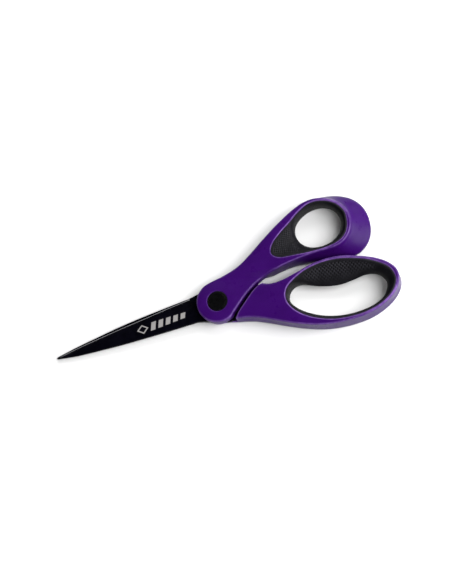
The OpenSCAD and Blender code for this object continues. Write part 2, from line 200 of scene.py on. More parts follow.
def curve_distance(curve, x, y, chunk=16000):
    """Signed distance to a closed curve, negative inside, and its third value at the foot."""
    shape = np.shape(x)
    px, py = np.ravel(x).astype(np.float32), np.ravel(y).astype(np.float32)
    a = curve[:, :2].astype(np.float32)
    b = np.roll(a, -1, axis=0)
    ab = b - a
    length2 = np.maximum((ab**2).sum(1), 1e-9)
    third = curve[:, 2] if curve.shape[1] > 2 else np.zeros(len(curve))
    third_next = np.roll(third, -1)
    dist, extra = np.empty(px.size), np.empty(px.size)
    for s in range(0, px.size, chunk):
        dx = px[s:s + chunk, None] - a[:, 0]
        dy = py[s:s + chunk, None] - a[:, 1]
        t = np.clip((dx * ab[:, 0] + dy * ab[:, 1]) / length2, 0, 1)
        d2 = (dx - t * ab[:, 0])**2 + (dy - t * ab[:, 1])**2
        k = d2.argmin(1)
        rows = np.arange(len(k))
        yy = py[s:s + chunk, None]
        crossing = (a[:, 1] > yy) != (b[:, 1] > yy)
        rise = np.where(np.abs(ab[:, 1]) < 1e-9, 1e-9, ab[:, 1])
        left = dx < (yy - a[:, 1]) * ab[:, 0] / rise
        inside = (crossing & left).sum(1) % 2 == 1
        dist[s:s + chunk] = np.sqrt(d2[rows, k]) * np.where(inside, -1, 1)
        extra[s:s + chunk] = third[k] * (1 - t[rows, k]) + third_next[k] * t[rows, k]
    return dist.reshape(shape), extra.reshape(shape)


# ---- solids as fields --------------------------------------------------------------------------


def both(a, b, r):
    """The overlap of two solids, with the edge between them rounded to radius r."""
    if r == 0:
        return np.maximum(a, b)
    return (np.minimum(np.maximum(a, b), -r)
            + np.hypot(np.maximum(a + r, 0), np.maximum(b + r, 0)))


def minus(a, b, r):
    """Solid a with b cut away, and the rim of the cut rounded to radius r."""
    return both(a, -b, r)


def finger_front(x, y):
    """Front face of the finger handle: a slope up to the loop."""
    return BOSS_FRONT + (LOOP_FRONT - BOSS_FRONT) * np.clip((x - 8) / 35, 0, 1)**1.5


def thumb_front(x, y):
    """Front face of the thumb handle: the boss falls off towards a crease, where the neck starts."""
    past = 0.249 * x + 0.968 * (y - 13)
    boss = BOSS_FRONT - 0.055 * np.clip(past + 10, 0, 10)
    share = ease((past + 0.3) / 5)
    return boss * (1 - share) + finger_front(x, y) * share


def neck_back(x):
    """Back of a handle: from the boss down to the back of the loop."""
    return LOOP_BACK * np.clip((x - 16) / 40, 0, 1)**1.5


def handle_solid(rim, flare, front_face, x, y, z):
    """Outside of a handle before its cuts, with its front face given as a height."""
    t = (z - FLARE_Z) / FLARE_RISE
    tucked = 0.2 * (np.clip(FLARE_Z - z, 0, 9) / (FLARE_Z - LOOP_BACK))**2
    share = 1 - ease(t) - tucked
    slope = 0.6 * flare * np.clip(t, 0, 1) * np.clip(1 - t, 0, 1)
    wall = (rim - flare * share + INSET + 0.01) / np.sqrt(1 + slope**2)
    neck_crown = 0.4 * np.clip(1 + rim / 7, 0, 1)**2 * ease((48 - x) / 10)
    rim_crown = 0.1 * np.clip(1 + rim / 2.5, 0, 1)**2
    front = z - front_face(x, y) + neck_crown + rim_crown + INSET
    back = neck_back(x) + INSET - z
    return both(both(wall, front, 0.9), back, 1.7)


def heel_outline(edge, spine):
    """Where a blade widens from its edge and spine into the round plate, counter-clockwise."""
    side = math.copysign(9.7, edge)
    heel = np.array([[-16, edge], [-16, spine], [-6, -side], [-6, side]])
    return even(heel if edge > 0 else heel[::-1], 0.7)[:, :2]


def plate_distance(tang, heel, x, y):
    """Distance to the blade's plate and tang in plan."""
    return np.minimum(np.minimum(np.hypot(x, y) - PLATE_R, curve_distance(tang, x, y)[0]),
                      curve_distance(heel, x, y)[0])


thumb_rim = outline(THUMB_RIM + arc(FRONT_BOSS_R, 96, 290))
finger_rim = outline(FINGER_RIM + arc(REAR_BOSS_R, 68, 274))
thumb_seam_front, thumb_seam_back = outline(THUMB_SEAM_FRONT), outline(THUMB_SEAM_BACK)
finger_seam, finger_hole = outline(FINGER_SEAM), outline(FINGER_HOLE)
finger_step = np.concatenate([even(spline(FINGER_STEP, False), 0.5, False),
                              [[32, 8], [32, 30], [-40, 30], [-40, -30], [0, -30]]])
thumb_step = np.concatenate([even(spline(THUMB_STEP, False), 0.5, False),
                             [[42, -30], [-40, -30], [-40, 30], [0, 30]]])
front_tang, rear_tang = outline(FRONT_TANG), outline(REAR_TANG)
front_heel, rear_heel = heel_outline(8.3, -7.2), heel_outline(-6.4, 8.9)


def thumb_plan(x, y):
    """Everything about the thumb handle that depends on x and y alone."""
    rim, flare = curve_distance(thumb_rim, x, y)
    return {"x": x, "y": y, "rim": rim, "flare": flare, "r": np.hypot(x, y),
            "seam_front": curve_distance(thumb_seam_front, x, y)[0],
            "seam_back": curve_distance(thumb_seam_back, x, y)[0],
            "step": curve_distance(thumb_step, x, y)[0],
            "plate": plate_distance(front_tang, front_heel, x, y)}


def thumb_seam(c, z):
    """Distance to the seam of shell and liner, which shifts from the back to the front."""
    t = np.clip((z - LOOP_BACK) / (LOOP_FRONT - LOOP_BACK), 0, 1)
    return c["seam_back"] * (1 - t) + c["seam_front"] * t


def thumb_handle_field(c, z):
    """The thumb handle less its liner, the rear half's step, the blade's pocket and the wells."""
    body = handle_solid(c["rim"], c["flare"], thumb_front, c["x"], c["y"], z)
    body = minus(body, thumb_seam(c, z), 0.3)
    body = minus(body, np.maximum(c["step"], z - OVERHANG_Z), 0.4)
    height = np.abs(z - (FRONT_BLADE_Z + BLADE_T / 2))
    pocket = np.maximum(c["plate"] - POCKET_PLAY, height - POCKET_HALF)
    body = minus(body, pocket, 0)
    body = minus(body, np.maximum(c["r"] - CAP_R - CAP_PLAY, FRONT_CAP_Z[0] - INSET - z), 0.35)
    return minus(body, np.maximum(c["r"] - HEAD_WELL_R, FRONT_BLADE_Z - z), 0)


def finger_plan(x, y):
    """Everything about the finger handle that depends on x and y alone."""
    rim, flare = curve_distance(finger_rim, x, y)
    return {"x": x, "y": y, "rim": rim, "flare": flare, "r": np.hypot(x, y),
            "seam": curve_distance(finger_seam, x, y)[0],
            "step": curve_distance(finger_step, x, y)[0],
            "plate": plate_distance(rear_tang, rear_heel, x, y)}


def finger_handle_field(c, z):
    """The finger handle less its liner, the front half's step, the blade's pocket and the wells."""
    body = handle_solid(c["rim"], c["flare"], finger_front, c["x"], c["y"], z)
    body = minus(body, c["seam"], 0.3)
    body = minus(body, np.maximum(c["step"], REAR_BLADE_Z - z), 0.7)
    height = np.abs(z - (REAR_BLADE_Z + BLADE_T / 2))
    pocket = np.maximum(c["plate"] - POCKET_PLAY, height - POCKET_HALF)
    body = minus(body, pocket, 0)
    body = minus(body, np.maximum(c["r"] - CAP_R - CAP_PLAY, z - REAR_CAP_Z[1] - INSET), 0.35)
    return minus(body, np.maximum(c["r"] - NUT_WELL_R, z - REAR_BLADE_Z - 1), 0)


def grip_field(seam, hole, dent, x, z):
    """A soft liner: steep and rounded where it is narrow, a long scoop where it is wide."""
    inner, outer = np.maximum(hole, 0), np.maximum(-seam, 0)
    w = np.maximum(inner + outer, 0.4)
    s = outer / w
    k = np.clip((w - 4) / 8, 0, 1)
    half = (LOOP_FRONT - LOOP_BACK) / 2 - GRIP_SUNK - dent
    rise = (np.abs(z - MID_Z) / half)**(2 - 0.9 * k)
    surface = (rise + s**(2 - 0.6 * k) - 1) * np.minimum(w, half) * 0.5
    surface = np.where(hole > 0, surface, np.maximum(surface, -hole + 0.3))
    faces = np.maximum(z - finger_front(x, 0), neck_back(x) - z) + GRIP_SUNK
    return both(np.maximum(surface, faces), seam + 0.03, 0.35)


def dimples(x, y, pitch, depth, size):
    """Staggered rows of small oval dents, each a little off its place, as a depth in millimetres."""
    dent = 0
    for k in (-1, 0, 1):
        row = np.round(y / (pitch * 0.5)) + k
        u = x - row % 2 * pitch * 0.5
        column = np.round(u / pitch)
        stray = 0.07 * pitch * np.sin(row * 12.9 + column * 78.2)
        dx = (u - column * pitch - stray) / size[0]
        dy = (y - row * pitch * 0.5) / size[1]
        dent = dent + np.exp(-(dx**2 + dy**2)**1.5)
    return depth * dent


def thumb_grip_plan(x, y):
    hx, hy = THUMB_HOLE_SIZE[0] / 2, THUMB_HOLE_SIZE[1] / 2
    u, v = (x - THUMB_HOLE_AT[0]) / hx, (y - THUMB_HOLE_AT[1]) / hy
    q = np.hypot(u, v)
    slope = np.hypot(u / hx, v / hy) / np.maximum(q, 1e-6)
    hole = (q - 1) / np.maximum(slope, 1e-6)
    seam_front = curve_distance(thumb_seam_front, x, y)[0]
    room = np.clip((np.minimum(-seam_front, hole) - 1) / 1.5, 0, 1) * ease((58 - x) / 3)
    u, v = 0.93 * x + 0.37 * y, 0.93 * y - 0.37 * x
    return {"x": x, "hole": hole, "seam_front": seam_front,
            "seam_back": curve_distance(thumb_seam_back, x, y)[0],
            "dent": room * dimples(u, v, 1.7, 0.42, (0.55, 0.42))}


def thumb_grip_field(c, z):
    return grip_field(thumb_seam(c, z), c["hole"], c["dent"] * (z > MID_Z), c["x"], z)


def finger_grip_plan(x, y):
    hole = curve_distance(finger_hole, x, y)[0]
    seam = curve_distance(finger_seam, x, y)[0]
    room = (np.clip((np.minimum(-seam, hole) - 1.2) / 1.2, 0, 1)
            * ease((x - 52) / 3) * ease((98 - x) / 3) * (y > -17))
    u, v = 0.98 * x - 0.2 * y, 0.98 * y + 0.2 * x
    return {"x": x, "hole": hole, "seam": seam,
            "dent": room * dimples(v, u, 2.2, 0.6, (0.75, 0.52))}


def finger_grip_field(c, z):
    return grip_field(c["seam"], c["hole"], c["dent"], c["x"], z)


# ---- surface nets ------------------------------------------------------------------------------


def surface_net(plan, field, low, high, step, rounds=2):
    """Quads over the zero surface of field(plan(x, y), z), drawn onto the exact surface."""
    axes = [np.arange(a, b + step, step) for a, b in zip(low, high)]
    x, y = np.meshgrid(axes[0], axes[1], indexing="ij")
    columns = {k: v[:, :, None] for k, v in plan(x, y).items()}
    f = np.broadcast_to(field(columns, axes[2][None, None, :]), [len(a) for a in axes])
    f = np.where(np.abs(f) < 1e-6, 1e-6, f)
    inside = f < 0
    n = np.array(f.shape) - 1
    total, count = np.zeros((*n, 3), np.float32), np.zeros(n, np.int8)
    corner = [(i, j, k) for i in (0, 1) for j in (0, 1) for k in (0, 1)]

    def at(array, c):
        return array[c[0]:c[0] + n[0], c[1]:c[1] + n[1], c[2]:c[2] + n[2]]

    for a in corner:
        for axis in range(3):
            if a[axis]:
                continue
            b = tuple(1 if k == axis else a[k] for k in range(3))
            cross = at(inside, a) != at(inside, b)
            fa, fb = at(f, a)[cross], at(f, b)[cross]
            point = np.tile(np.array(a, float), (len(fa), 1))
            point[:, axis] += fa / (fa - fb)
            total[cross] += point
            count[cross] += 1
    used = count > 0
    index = np.full(n, -1)
    index[used] = np.arange(used.sum())
    cell = np.argwhere(used)
    verts = np.array(low) + (cell + total[used] / count[used][:, None]) * step
    quads = []
    for axis in range(3):
        u, v = (axis + 1) % 3, (axis + 2) % 3
        first = np.take(inside, range(n[axis]), axis)
        second = np.take(inside, range(1, n[axis] + 1), axis)
        e = np.argwhere(first != second)
        e = e[(e[:, u] > 0) & (e[:, v] > 0) & (e[:, u] < n[u]) & (e[:, v] < n[v])]
        ring = []
        for du, dv in ((-1, -1), (0, -1), (0, 0), (-1, 0)):
            c = e.copy()
            c[:, u] += du
            c[:, v] += dv
            ring.append(index[c[:, 0], c[:, 1], c[:, 2]])
        ring = np.stack(ring, 1)
        flip = ~inside[e[:, 0], e[:, 1], e[:, 2]]
        ring[flip] = ring[flip][:, ::-1]
        quads.append(ring)
    quads = np.concatenate(quads)
    sides = np.concatenate([quads[:, [0, 1]], quads[:, [1, 2]], quads[:, [2, 3]],
                            quads[:, [3, 0]]])
    shift = 0.2 * step

    def value(p):
        return field(plan(p[:, 0], p[:, 1]), p[:, 2])

    for _ in range(rounds):
        mean, degree = np.zeros_like(verts), np.zeros(len(verts))
        for k in range(3):
            mean[:, k] = np.bincount(sides[:, 0], verts[sides[:, 1], k], len(verts))
        degree = np.bincount(sides[:, 0], minlength=len(verts))
        verts = 0.5 * verts + 0.5 * mean / np.maximum(degree, 1)[:, None]
        here = value(verts)
        slope = np.stack([(value(verts + shift * np.eye(3)[k]) - here) / shift
                          for k in range(3)], 1)
        size = np.maximum((slope**2).sum(1), 0.05)
        move = -here[:, None] * slope / size[:, None]
        far = np.linalg.norm(move, axis=1, keepdims=True)
        verts = verts + move * np.minimum(1, 0.5 * step / np.maximum(far, 1e-9))
    return verts, quads


def new_object(name, verts, faces):
    """An object from vertices in millimetres, with smooth shading."""
    mesh = bpy.data.meshes.new(name)
    mesh.from_pydata((np.asarray(verts) * MM).tolist(), [], [list(map(int, f)) for f in faces])
    mesh.validate()
    mesh.update()
    mesh.shade_smooth()
    obj = bpy.data.objects.new(name, mesh)
    bpy.context.scene.collection.objects.link(obj)
    return obj


def largest_piece(verts, quads):
    """Drops the specks that a thin wall can leave beside the main surface."""
    sides = np.concatenate([quads[:, [0, 1]], quads[:, [1, 2]], quads[:, [2, 3]]])
    label, before = np.arange(len(verts)), None
    while not np.array_equal(label, before):
        before = label.copy()
        low = label[sides].min(1)
        np.minimum.at(label, sides[:, 0], low)
        np.minimum.at(label, sides[:, 1], low)
        label = label[label]
    keep = label == np.bincount(label).argmax()
    return verts[keep], (np.cumsum(keep) - 1)[quads[keep[quads[:, 0]]]]


def store_bend(obj, rounds=4):
    """Stores how sharply the surface bends outward, per millimetre, for the painted highlight and
    wear on its edges.
    """
    mesh = obj.data
    count = len(mesh.vertices)
    verts, normals = np.empty(count * 3), np.empty(count * 3)
    mesh.vertices.foreach_get("co", verts)
    mesh.vertex_normals.foreach_get("vector", normals)
    verts, normals = verts.reshape(-1, 3) / MM, normals.reshape(-1, 3)
    ends = np.empty(len(mesh.edges) * 2, dtype=np.int32)
    mesh.edges.foreach_get("vertices", ends)
    a, b = ends.reshape(-1, 2).T
    degree = np.maximum(np.bincount(np.concatenate([a, b]), minlength=count), 1)

    def around(at_a, at_b):
        """The mean over the edges of each vertex, of values seen from either end."""
        return (np.bincount(a, at_a, count) + np.bincount(b, at_b, count)) / degree

    square = ((verts[a] - verts[b]) ** 2).sum(1)
    spread = np.maximum(around(square, square), 1e-6)
    offset = np.stack([around(v[b], v[a]) - v for v in verts.T], 1)
    bend = np.clip(-2 * (offset * normals).sum(1) / spread, -2, 2)
    for _ in range(rounds):
        bend = 0.5 * bend + 0.5 * around(bend[b], bend[a])
    mesh.attributes.new("bend", "FLOAT", "POINT").data.foreach_set("value", bend)


def net_object(name, plan, field, node, step):
    """The net of a field inside a CAD node's box."""
    lo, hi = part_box(node)
    low = [c / MM - 1.5 * step for c in lo]
    high = [c / MM + 1.5 * step for c in hi]
    verts, quads = surface_net(plan, field, low, high, step)
    obj = new_object(name, *largest_piece(verts, quads))
    store_bend(obj)
    return obj


# ---- blades and caps ---------------------------------------------------------------------------


def blade_sections(edge_points, spine_points, z, side):
    """Closed sections from the tip to the pivot; side is 1 when the blade lies in front of z."""
    edge, spine = spline(edge_points, False, 24), spline(spine_points, False, 24)
    scale = BLADE_REACH / 100
    reach = BLADE_REACH - INSET
    tip = 0.9
    stations = np.concatenate([
        -reach + tip * (1 - np.cos(np.linspace(0, math.pi / 2, 8))),
        np.linspace(-reach + tip, -12, 150)[1:]])
    rows = []
    for x in stations:
        e = np.interp(x, edge[:, 0] * scale, edge[:, 1])
        s = np.interp(x, spine[:, 0] * scale, spine[:, 1])
        into = (x + reach) / tip
        if into < 1:
            mid, part = (e + s) / 2, max(math.sqrt(max(1 - (1 - into)**2, 0)), 0.12)
            e, s = mid + (e - mid) * part, mid + (s - mid) * part
        w = e - s
        t = BLADE_T * (0.6 + 0.4 * min(1, (x + BLADE_REACH) / 50))
        b = min(BEVEL_W, 0.45 * abs(w)) * math.copysign(1, w)
        h = min(BEVEL_H, 0.7 * t)
        r = min(0.28, 0.2 * abs(w)) * math.copysign(1, w)
        c = math.copysign(0.06, w)
        half = w / 2
        profile = [(e, 0.03), (e - c * 0.3, 0.06), (e - BARE * b, BARE * h),
                   (e - b + c, h - 0.03), (e - b, h + 0.01),
                   (e - b - c, h + 0.05), (e - (b + half) / 2, h + (t - h) * 0.62),
                   (s + half + c * 4, t - 0.02), (s + half, t), (s + half - c * 4, t)]
        profile += [(s + r * (1 - math.cos(a)), t - abs(r) * (1 - math.sin(a)))
                    for a in np.linspace(math.pi / 2, 0, 5)]
        profile += [(s, 0.12), (s + c * 2, 0), (s + half, 0), (e - c, 0)]
        rows.append([(x, py, z + side * pz) for py, pz in profile])
    return np.array(rows)


def lofted(rows):
    """Vertices and faces of a closed solid through equal rows of points."""
    m, n = rows.shape[:2]
    faces = []
    for i in range(m - 1):
        for j in range(n):
            faces.append((i * n + j, (i + 1) * n + j, (i + 1) * n + (j + 1) % n,
                          i * n + (j + 1) % n))
    faces += [tuple(range(n)), tuple((m - 1) * n + j for j in reversed(range(n)))]
    return rows.reshape(-1, 3), faces


def outward(obj):
    """Makes every face of a closed mesh point outwards."""
    bm = bmesh.new()
    bm.from_mesh(obj.data)
    bmesh.ops.recalc_face_normals(bm, faces=bm.faces)
    if bm.calc_volume(signed=True) < 0:
        bmesh.ops.reverse_faces(bm, faces=bm.faces)
    bm.to_mesh(obj.data)
    bm.free()


def prism(name, ring, low, high, chamfer):
    """A flat plate with its edges broken all round."""
    e = np.roll(ring, -1, axis=0) - np.roll(ring, 1, axis=0)
    out = np.stack([e[:, 1], -e[:, 0]], 1) / np.linalg.norm(e, axis=1, keepdims=True)
    levels = [(low, -chamfer), (low + chamfer, 0), (high - chamfer, 0), (high, -chamfer)]
    rows = np.array([np.column_stack([ring + out * d, np.full(len(ring), z)])
                     for z, d in levels])
    verts, faces = lofted(rows)
    obj = new_object(name, verts, faces)
    outward(obj)
    return obj


def turned(name, profile, n=96):
    """A solid of revolution about the pivot axis, from (r, z) pairs that start and end at r = 0."""
    a = np.linspace(0, 2 * math.pi, n, endpoint=False)
    inner = profile[1:-1]
    verts = [(r * math.cos(v), r * math.sin(v), z) for r, z in inner for v in a]
    verts += [(0, 0, profile[0][1]), (0, 0, profile[-1][1])]
    first, last = len(verts) - 2, len(verts) - 1
    faces = [(i * n + j, i * n + (j + 1) % n, (i + 1) * n + (j + 1) % n, (i + 1) * n + j)
             for i in range(len(inner) - 1) for j in range(n)]
    faces += [(first, (j + 1) % n, j) for j in range(n)]
    top = (len(inner) - 1) * n
    faces += [(last, top + j, top + (j + 1) % n) for j in range(n)]
    obj = new_object(name, verts, faces)
    outward(obj)
    return obj


def combine(obj, other, operation):
    """Applies a boolean and removes the other object."""
    mod = obj.modifiers.new("join", "BOOLEAN")
    mod.operation = operation
    mod.solver = "EXACT"
    mod.object = other
    dg = bpy.context.evaluated_depsgraph_get()
    mesh = bpy.data.meshes.new_from_object(obj.evaluated_get(dg))
    obj.modifiers.clear()
    obj.data = mesh
    bpy.data.objects.remove(other)


def blade(name, edge, spine, tang, heel, z, side):
    """A ground blade joined with its round plate, tang and heel, and bored for the screw."""
    verts, faces = lofted(blade_sections(edge, spine, z, side))
    ground = new_object(name, verts, faces)
    outward(ground)
    low, high = sorted((z, z + side * BLADE_T))
    disc = np.array(arc(PLATE_R, 0, 360, 129))[:-1, :2]
    for k, ring in enumerate((disc, even(tang, 0.7)[:, :2], heel)):
        combine(ground, prism(f"{name}_part{k}", ring, low + 0.003 * k, high - 0.003 * k, 0.12),
                "UNION")
    bore = turned("bore", [(0, low - 1), (BORE_R, low - 1), (BORE_R, high + 1), (0, high + 1)], 64)
    combine(ground, bore, "DIFFERENCE")
    return ground


def cap(name, low, high, face):
    """A pivot cap with a rounded rim, a shallow ring groove and a slightly dished face."""
    r = CAP_R
    t = high - low
    profile = [(0, 0), (r - 0.2, 0), (r, 0.2), (r, t - 0.3), (r - 0.09, t - 0.09), (r - 0.3, t),
               (r - 0.75, t), (r - 0.85, t - 0.1), (r - 1.0, t - 0.13), (r - 1.15, t - 0.1),
               (r - 1.25, t - 0.02), (r - 2.2, t - 0.05), (r - 4, t - 0.09), (0.8, t - 0.1),
               (0, t - 0.1)]
    flip = (lambda z: low + z) if face > 0 else (lambda z: high - z)
    return turned(name, [(max(a, 0), flip(b)) for a, b in profile])


# ---- materials ---------------------------------------------------------------------------------


class Look:
    """A material's node tree, with short calls for the nodes that the finishes share."""

    def __init__(self, name, roughness, **fixed):
        self.material = bpy.data.materials.new(name)
        self.material.use_nodes = True
        self.tree = self.material.node_tree
        self.shader = self.tree.nodes["Principled BSDF"]
        self.shader.inputs["Roughness"].default_value = roughness
        for key, value in fixed.items():
            self.shader.inputs[key.replace("_", " ")].default_value = value
        self.place = self.add("ShaderNodeTexCoord").outputs["Object"]

    def add(self, kind, **settings):
        node = self.tree.nodes.new(kind)
        for key, value in settings.items():
            setattr(node, key, value)
        return node

    def put(self, socket, value):
        """Links an output to a socket, or sets the socket to a plain value."""
        if isinstance(value, bpy.types.NodeSocket):
            self.tree.links.new(value, socket)
        else:
            socket.default_value = value

    def stretched(self, scale, turn=0):
        """Places scaled per axis, so that noise on them is drawn out along the small scales."""
        node = self.add("ShaderNodeMapping")
        self.put(node.inputs["Vector"], self.place)
        self.put(node.inputs["Scale"], scale)
        self.put(node.inputs["Rotation"], (0, 0, turn))
        return node.outputs["Vector"]

    def noise(self, size, detail=3, vector=None):
        """Noise whose features are about size millimetres across, from 0 to 1."""
        node = self.add("ShaderNodeTexNoise")
        self.put(node.inputs["Vector"], vector or self.place)
        self.put(node.inputs["Scale"], 1 / (size * MM))
        self.put(node.inputs["Detail"], detail)
        return node.outputs["Fac"]

    def cells(self, size):
        """Soft cells about size millimetres across, 0 at their centres."""
        node = self.add("ShaderNodeTexVoronoi", feature="SMOOTH_F1")
        self.put(node.inputs["Vector"], self.place)
        self.put(node.inputs["Scale"], 1 / (size * MM))
        return node.outputs["Distance"]

    def math(self, operation, a, b=0.0, c=0.0):
        node = self.add("ShaderNodeMath", operation=operation)
        for socket, value in zip(node.inputs, (a, b, c)):
            self.put(socket, value)
        return node.outputs[0]

    def span(self, value, low, high, to_low=0.0, to_high=1.0):
        """Maps low..high to to_low..to_high with soft ends."""
        node = self.add("ShaderNodeMapRange", interpolation_type="SMOOTHSTEP")
        for key, v in zip(("Value", "From Min", "From Max", "To Min", "To Max"),
                          (value, low, high, to_low, to_high)):
            self.put(node.inputs[key], v)
        return node.outputs["Result"]

    def mix(self, share, a, b):
        """Colour a, going over to colour b."""
        node = self.add("ShaderNodeMix", data_type="RGBA")
        self.put(node.inputs["Factor"], share)
        self.put(node.inputs["A"], a)
        self.put(node.inputs["B"], b)
        return node.outputs["Result"]

    def edges(self, low, high):
        """1 on outer edges and corners, 0 on flat and hollow surfaces."""
        return self.span(self.add("ShaderNodeNewGeometry").outputs["Pointiness"], low, high)

    def corners(self, reach):
        """1 along sharp corners, to a reach in millimetres."""
        rounded = self.add("ShaderNodeBevel")
        self.put(rounded.inputs["Radius"], reach * MM)
        product = self.add("ShaderNodeVectorMath", operation="DOT_PRODUCT")
        self.put(product.inputs[0], rounded.outputs["Normal"])
        self.put(product.inputs[1], self.add("ShaderNodeNewGeometry").outputs["Normal"])
        return self.span(product.outputs["Value"], 0.95, 0.8, 0.0, 1.0)

    def bent(self, low, high):
        """1 where the stored bend of a net is high."""
        node = self.add("ShaderNodeAttribute", attribute_name="bend")
        return self.span(node.outputs["Fac"], low, high)

    def xyz(self):
        node = self.add("ShaderNodeSeparateXYZ")
        self.put(node.inputs[0], self.place)
        return node.outputs

    def pivot_distance(self):
        x, y = self.xyz()[:2]
        square = self.math("MULTIPLY_ADD", x, x, self.math("MULTIPLY", y, y))
        return self.math("SQRT", square)

    def finish(self, colour, roughness, heights):
        """heights are (value, depth in millimetres) pairs, each a bump of its own."""
        self.put(self.shader.inputs["Base Color"], colour)
        self.put(self.shader.inputs["Roughness"], roughness)
        normal = None
        for value, depth in heights:
            bump = self.add("ShaderNodeBump")
            self.put(bump.inputs["Strength"], 1.0)
            self.put(bump.inputs["Distance"], depth * MM)
            self.put(bump.inputs["Height"], value)
            if normal:
                self.put(bump.inputs["Normal"], normal)
            normal = bump.outputs["Normal"]
        self.put(self.shader.inputs["Normal"], normal)
        return self.material


def rgb(r, g, b):
    """A colour with full opacity."""
    return (r, g, b, 1)


def handle_plastic():
    """Satin moulded plastic: fine spark-eroded grain, faint flow shades, paler outer edges painted
    as a highlight and broken up like wear.
    """
    m = Look("handle_plastic", 0.3, IOR=1.46, Specular_IOR_Level=0.09)
    flow = m.span(m.noise(14, 2, m.stretched((0.6, 1.4, 1), 0.3)), 0.3, 0.7)
    base = m.mix(flow, rgb(0.0172, 0.001, 0.057), rgb(0.0205, 0.0015, 0.067))
    speck = m.span(m.noise(0.5, 4), 0.35, 0.7, 0.0, 0.35)
    base = m.mix(speck, base, rgb(0.028, 0.003, 0.085))
    # Painted highlight: outer edges paler, broken up by noise and faded near the cap; the same edges
    # are a little smoother, as if worn
    pale_edges = m.math("MULTIPLY", m.bent(0.15, 0.6), m.span(m.noise(2.5, 5), 0.3, 0.65, 0.5, 1.0))
    pale_edges = m.math("MULTIPLY", pale_edges, m.span(m.pivot_distance(), 6.8 * MM, 8.5 * MM, 0.1, 1.0))
    base = m.mix(m.math("MULTIPLY", pale_edges, 0.65), base, rgb(0.15, 0.08, 0.26))
    scuff = m.noise(0.35, 5, m.stretched((0.05, 1, 1), 0.9))
    rough = m.math("ADD", m.span(m.noise(6, 4), 0.3, 0.75, 0.27, 0.34),
                   m.span(scuff, 0.6, 0.75, 0, 0.05))
    rough = m.math("SUBTRACT", rough, m.math("MULTIPLY", pale_edges, 0.06))
    grain = m.noise(0.16, 3)
    return m.finish(base, rough, [(grain, 0.011), (m.noise(9, 1), 0.05)])


def grip_rubber():
    """Matt soft rubber with a leathery skin, a trace of dust, painted shade in its hollows and a
    painted highlight on its ridges.
    """
    m = Look("grip_rubber", 0.5, IOR=1.5, Specular_IOR_Level=0.06)
    shade = m.span(m.noise(5, 4), 0.3, 0.7)
    base = m.mix(shade, rgb(0.0022, 0.002, 0.003), rgb(0.0042, 0.004, 0.0054))
    # Painted shade: the hollows of the dents darker
    hollow = m.edges(0.497, 0.45)
    base = m.mix(hollow, base, rgb(0.001, 0.001, 0.0012))
    # Painted highlight: the ridges between the dents paler; they are also a little smoother, as if
    # polished
    ridge_sheen_and_polish = m.edges(0.503, 0.53)
    base = m.mix(m.math("MULTIPLY", ridge_sheen_and_polish, 0.5), base, rgb(0.02, 0.0195, 0.025))
    dust = m.math("MULTIPLY", m.span(m.noise(0.4, 4), 0.55, 0.8), 0.12)
    base = m.mix(dust, base, rgb(0.04, 0.04, 0.043))
    rough = m.math("SUBTRACT", m.span(m.noise(1.2, 4), 0.3, 0.7, 0.42, 0.54),
                   m.math("MULTIPLY", ridge_sheen_and_polish, 0.1))
    skin = m.cells(0.45)
    return m.finish(base, rough, [(skin, 0.03), (m.noise(0.12, 3), 0.012)])


def coated_steel(mark=False):
    """Black coating over fine grinding lines, worn along sharp corners, plain or with the mark."""
    m = Look("blade_coating", 0.24, IOR=1.42, Specular_IOR_Level=0.04)
    lines = m.noise(0.22, 3, m.stretched((0.06, 1, 1)))
    base = m.mix(m.span(m.noise(4, 3), 0.3, 0.7), rgb(0.0006, 0.0006, 0.0015),
                 rgb(0.0013, 0.0012, 0.0028))
    pale_edges = m.math("MULTIPLY", m.corners(0.12), m.span(m.noise(0.9, 5), 0.3, 0.7, 0.2, 1.0))
    base = m.mix(m.math("MULTIPLY", pale_edges, 0.5), base, rgb(0.05, 0.05, 0.055))
    rough = m.math("ADD", m.span(m.noise(3, 4), 0.3, 0.7, 0.2, 0.27),
                   m.span(lines, 0.4, 0.7, 0, 0.06))
    if mark:
        print_share = blade_mark(m)
        base = m.mix(print_share, base, rgb(0.2, 0.192, 0.19))
        rough = m.math("ADD", rough, m.math("MULTIPLY", print_share, 0.22))
    return m.finish(base, rough, [(lines, 0.004), (m.noise(0.25, 3), 0.003)])


def blade_mark(m):
    """A plain printed ornament on the front blade's face: a lozenge, then five slanted bars."""
    x, y, z = m.xyz()[:3]
    face = (FRONT_BLADE_Z + 0.8 * BLADE_T) * MM
    on_face = m.math("GREATER_THAN", z, face)
    fade = m.span(m.noise(0.25, 4), 0.2, 0.5, 0.8, 1.0)

    def soft(distance):
        """1 where a distance in metres is below zero, with a soft printed border."""
        return m.span(distance, -0.05 * MM, 0.05 * MM, 1.0, 0.0)

    def away(value, centre):
        return m.math("ABSOLUTE", m.math("SUBTRACT", value, centre * MM))

    lozenge = m.math("ADD", m.math("MULTIPLY", away(x, -48.4), 0.8), away(y, -0.5))
    outer = soft(m.math("SUBTRACT", lozenge, 2.9 * MM))
    inner = soft(m.math("SUBTRACT", lozenge, 2.0 * MM))
    shape = m.math("SUBTRACT", outer, inner)
    lean = m.math("ADD", x, m.math("MULTIPLY", y, -0.35))
    for k in range(5):
        centre, tall = -41.4 + 4.7 * k, 2.5 - 0.2 * k
        bar = m.math("MAXIMUM", m.math("SUBTRACT", away(lean, centre), 1.45 * MM),
                     m.math("SUBTRACT", away(y, -0.5), tall * MM))
        shape = m.math("MAXIMUM", shape, soft(bar))
    return m.math("MULTIPLY", m.math("MULTIPLY", shape, on_face), fade)


